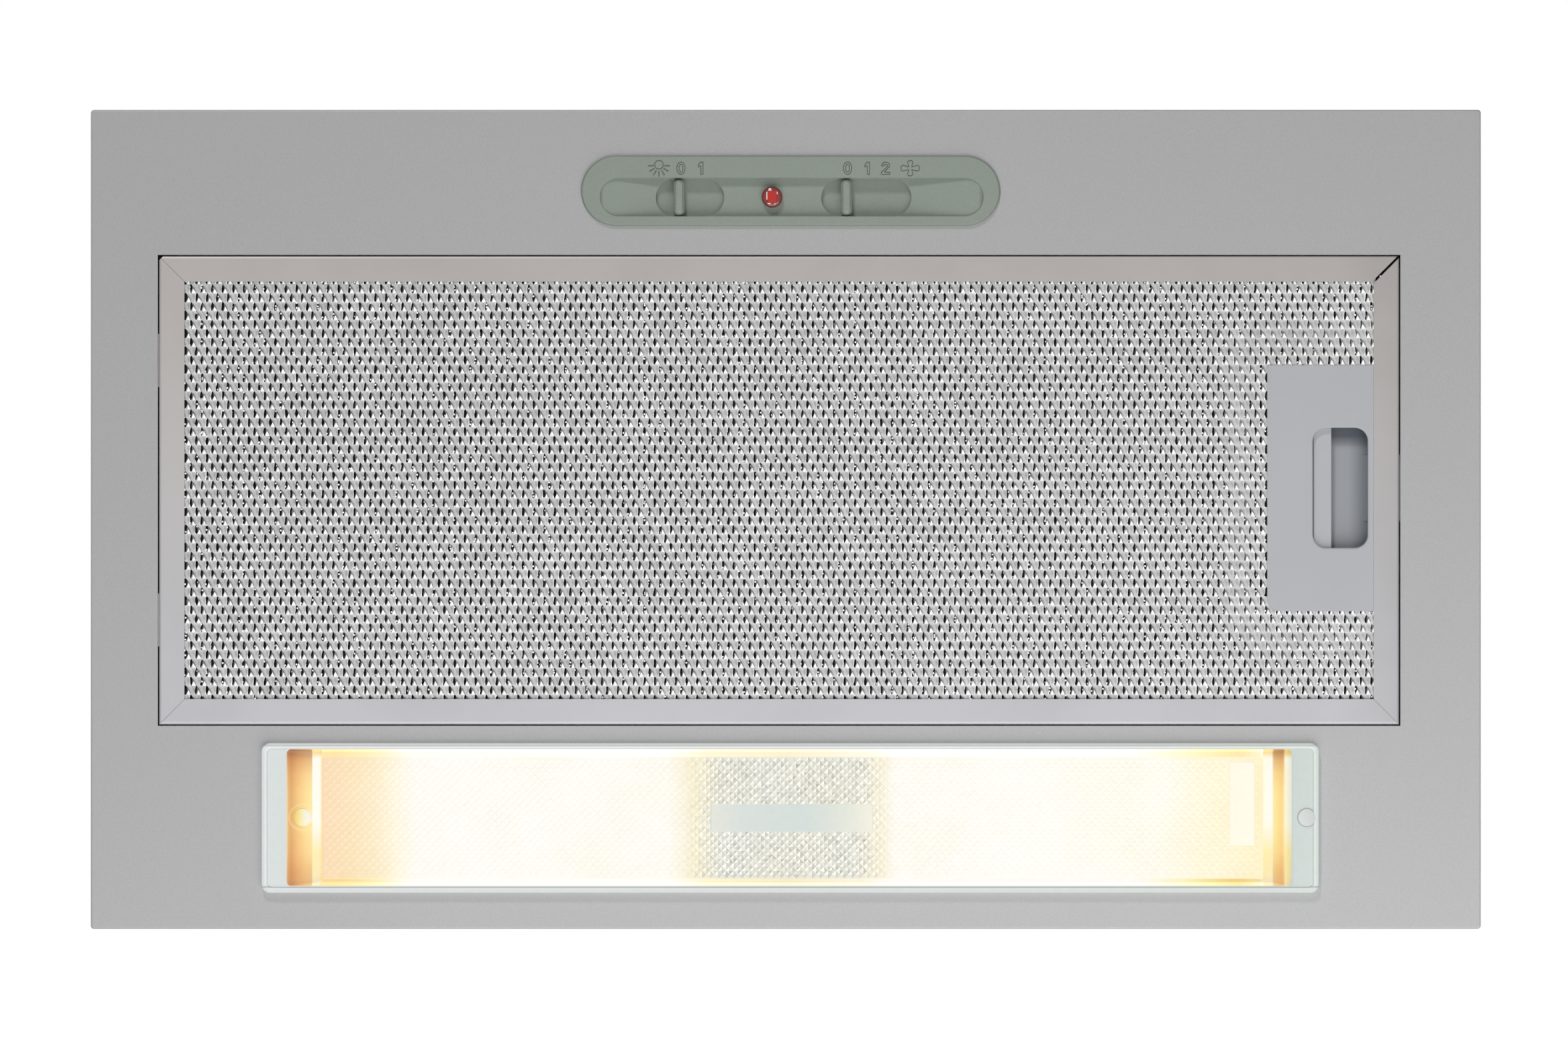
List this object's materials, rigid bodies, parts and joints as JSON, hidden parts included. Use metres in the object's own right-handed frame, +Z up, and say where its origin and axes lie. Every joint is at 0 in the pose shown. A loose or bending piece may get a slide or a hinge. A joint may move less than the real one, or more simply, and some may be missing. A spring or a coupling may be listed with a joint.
{
  "type": "range hood",
  "caption": "Built-in range hood with a grey face plate, one aluminium mesh grease filter with a spring latch, slide switches, a lit lamp cover and a round outlet.",
  "frame": {"origin": "centre of the face plate, in the plane of the folded-in lip that lies against the cabinet's underside", "axes": "+X along the plate with the latch at the right end, +Z up into the cabinet, -Y to the front where the switches are"},
  "size_m": [0.525, 0.3096, 0.2189],
  "materials": {
    "painted_steel": "silver-grey fine-speckled paint, satin",
    "galvanised_steel": "galvanised sheet, dull spangle",
    "spring_steel": "bright spring steel",
    "zinc_screws": "zinc plated",
    "filter_aluminium": "rolled aluminium strip, satin",
    "mesh_aluminium": "expanded aluminium mesh, bright",
    "panel_plastic": "green-grey moulded plastic, satin",
    "latch_plastic": "light grey moulded plastic, matte",
    "red_lens": "clear red moulded lens",
    "neon_glass": "small indicator lamp",
    "clear_cover": "clear prismatic plastic",
    "reflector": "bright galvanised sheet",
    "lamp_porcelain": "white glazed holder",
    "bulb_glass": "frosted glass, lit",
    "bulb_cap": "rolled screw cap",
    "black_plastic": "black moulded plastic",
    "white_plastic": "off-white moulded plastic",
    "motor_steel": "dark painted steel",
    "laminated_steel": "laminated core",
    "bright_steel": "ground steel",
    "capacitor_shell": "smooth pale shell",
    "grommet_rubber": "black rubber"
  },
  "bodies": {
    "hood": {"face_plate": "painted_steel", "housing_front_panel": "galvanised_steel", "housing_back_panel": "galvanised_steel", "housing_left_panel": "galvanised_steel", "housing_right_panel": "galvanised_steel", "housing_top_panel": "galvanised_steel", "front_partition": "galvanised_steel", "back_partition": "galvanised_steel", "filter_stops": "galvanised_steel", "cabinet_clips": "spring_steel", "outlet_collar": "black_plastic", "damper_pin": "bright_steel", "scroll_left": "black_plastic", "scroll_right": "black_plastic", "motor_stator": "laminated_steel", "motor_front_shell": "motor_steel", "motor_rear_shell": "motor_steel", "motor_bearings": "bright_steel", "motor_bracket": "galvanised_steel", "motor_screws": "zinc_screws", "scroll_screws": "zinc_screws", "housing_screws": "zinc_screws", "collar_screws": "zinc_screws", "run_capacitor": "capacitor_shell", "capacitor_clip": "galvanised_steel", "wiring_box": "white_plastic", "wiring_box_cover": "white_plastic", "terminal_block": "white_plastic", "cable_grommet": "grommet_rubber", "control_panel": "panel_plastic", "light_switch": "black_plastic", "fan_switch": "black_plastic", "switch_bracket": "galvanised_steel", "indicator_lens": "red_lens", "indicator_lamp": "neon_glass", "lamp_reflector": "reflector", "lamp_holder_bracket": "galvanised_steel", "lamp_holder_left": "lamp_porcelain", "lamp_holder_right": "lamp_porcelain", "bulb_caps": "bulb_cap", "bulb_glass_left": "bulb_glass", "bulb_glass_right": "bulb_glass"},
    "filter": {"filter_frame": "filter_aluminium", "front_mesh": "mesh_aluminium", "inner_meshes": "mesh_aluminium", "back_mesh": "mesh_aluminium", "filter_hooks": "filter_aluminium", "latch_housing": "latch_plastic", "latch_springs": "spring_steel"},
    "latch": {"latch_slider": "latch_plastic"},
    "lamp_cover": {"lamp_cover": "clear_cover", "cover_buttons": "white_plastic"},
    "light_switch_slider": {"light_slider": "panel_plastic"},
    "fan_switch_slider": {"fan_slider": "panel_plastic"},
    "fan_wheel": {"impeller": "black_plastic", "motor_shaft": "bright_steel", "motor_rotor": "laminated_steel"},
    "damper_front": {"damper_flap_front": "white_plastic"},
    "damper_back": {"damper_flap_back": "white_plastic"}
  },
  "joints": [
    {"name": "filter_hinge", "type": "hinge", "parent": "hood", "child": "filter", "pos_m": [-0.2367, 0, -0.0085], "axis": [0, 1, 0], "range_deg": [0, 70]},
    {"name": "latch_slide", "type": "slide", "parent": "filter", "child": "latch", "axis": [-1, 0, 0], "range_m": [0, 0.007], "stiffness_N_per_m": 600, "springref_m": -0.004, "deforming": ["latch_springs"]},
    {"name": "lamp_cover_slide", "type": "slide", "parent": "hood", "child": "lamp_cover", "axis": [0, 0, -1], "range_m": [0, 0.06]},
    {"name": "light_switch_slide", "type": "slide", "parent": "hood", "child": "light_switch_slider", "axis": [1, 0, 0], "range_m": [0, 0.0072]},
    {"name": "fan_switch_slide", "type": "slide", "parent": "hood", "child": "fan_switch_slider", "axis": [1, 0, 0], "range_m": [0, 0.0144]},
    {"name": "fan_spin", "type": "hinge", "parent": "hood", "child": "fan_wheel", "pos_m": [0, -0.01377, 0.0926], "axis": [1, 0, 0], "continuous": true},
    {"name": "damper_front_hinge", "type": "hinge", "parent": "hood", "child": "damper_front", "pos_m": [0, 0.04202, 0.18166], "axis": [-1, 0, 0], "range_deg": [0, 75]},
    {"name": "damper_back_hinge", "type": "hinge", "parent": "hood", "child": "damper_back", "pos_m": [0, 0.04202, 0.18166], "axis": [1, 0, 0], "range_deg": [0, 75]}
  ]
}
